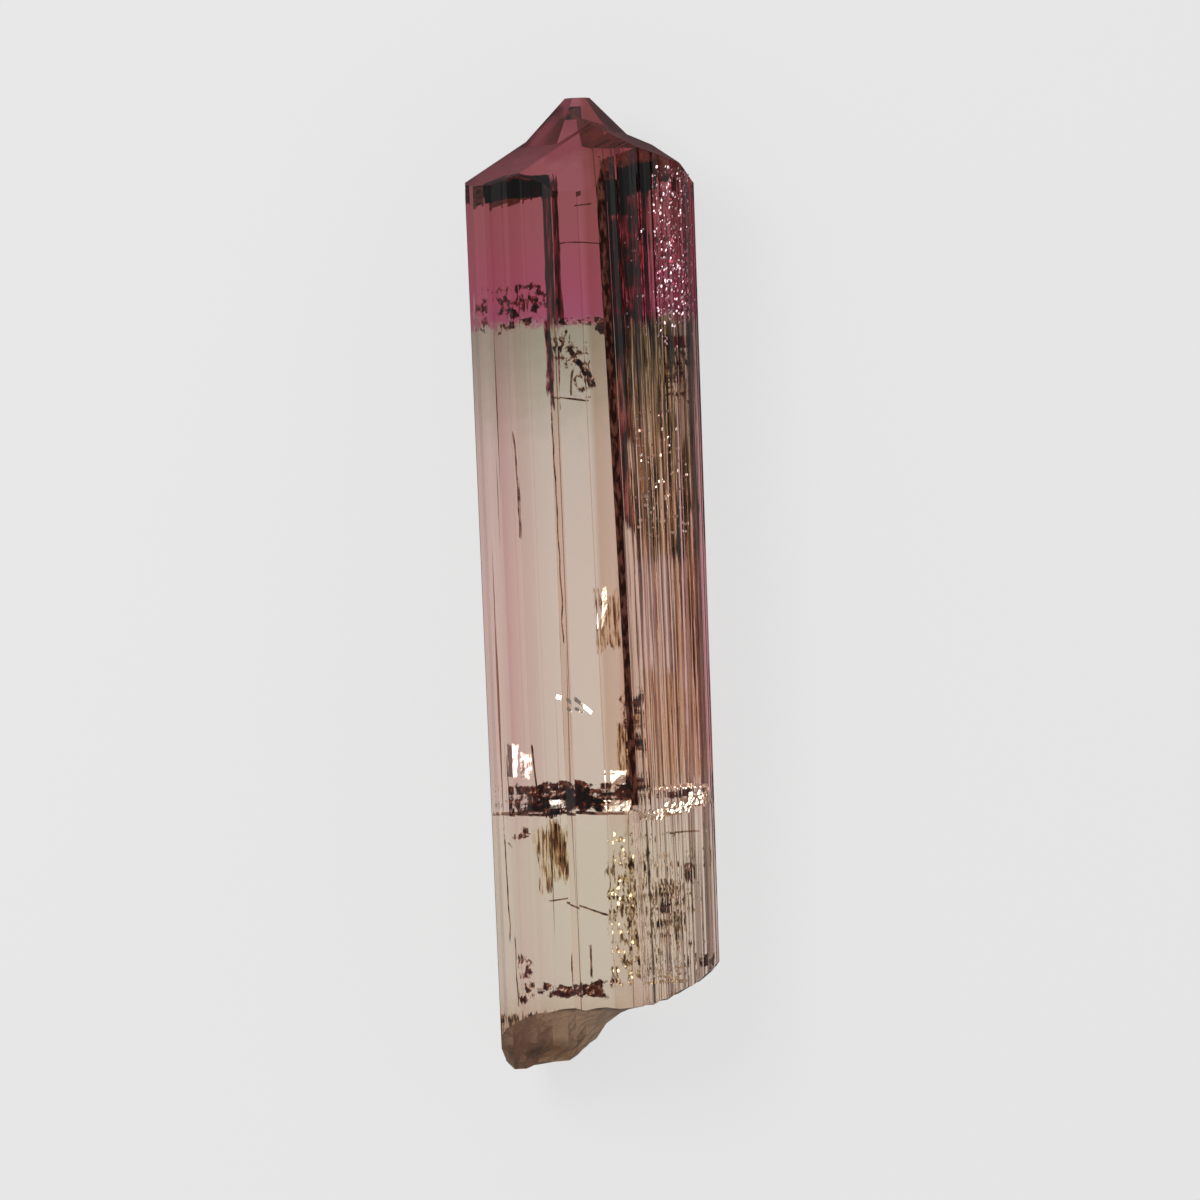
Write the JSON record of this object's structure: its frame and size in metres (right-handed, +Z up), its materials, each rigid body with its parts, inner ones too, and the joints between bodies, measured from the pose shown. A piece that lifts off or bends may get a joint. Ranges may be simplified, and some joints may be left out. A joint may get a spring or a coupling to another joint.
{
  "type": "tourmaline_crystal",
  "caption": "Slender bicolour tourmaline crystal, pink at its pointed end and pale green-cream below, striated along its length, with a broken base, lying on one prism face.",
  "frame": {"origin": "middle of the bounding box, on the surface that the crystal lies on", "axes": "+Y along the crystal's long axis towards its pointed end, +Z up from the face it lies on, +X to the right seen from above with the point away"},
  "size_m": [0.007, 0.0294, 0.0058],
  "materials": {
    "tourmaline": "natural crystal faces, glossy, clear with inner fractures"
  },
  "bodies": {
    "root": {"crystal": "tourmaline"}
  },
  "joints": []
}
